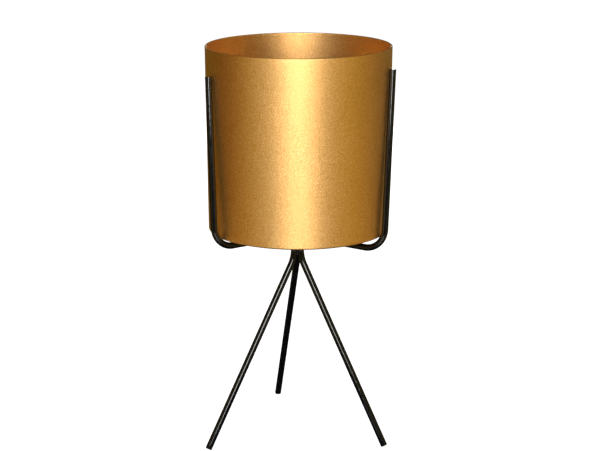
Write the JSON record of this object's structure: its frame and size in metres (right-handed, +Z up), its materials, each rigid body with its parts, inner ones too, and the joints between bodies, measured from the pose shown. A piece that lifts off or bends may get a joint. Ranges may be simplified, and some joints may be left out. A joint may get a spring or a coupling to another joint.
{
  "type": "planter with stand",
  "caption": "Straight-sided round metal pot with a hemmed rim, held in a low stand of bent round rods that splay as legs below it and rise as prongs beside it.",
  "frame": {"origin": "on the floor, on the pot's vertical axis", "axes": "+Z up along the pot's axis, -Y towards the front, between the two front feet; +X to the right seen from the front"},
  "size_m": [0.2346, 0.2517, 0.4995],
  "materials": {
    "pot_metal": "satin",
    "rod_paint": "gloss"
  },
  "bodies": {
    "stand": {"rod_left": "rod_paint", "rod_right": "rod_paint", "rod_back": "rod_paint", "weld_front": "rod_paint", "weld_left": "rod_paint", "weld_right": "rod_paint"},
    "pot": {"pot_wall": "pot_metal", "pot_base": "pot_metal"}
  },
  "joints": [
    {"name": "pot_lift", "type": "slide", "parent": "stand", "child": "pot", "axis": [0, 0, 1], "range_m": [0, 0.215]}
  ]
}
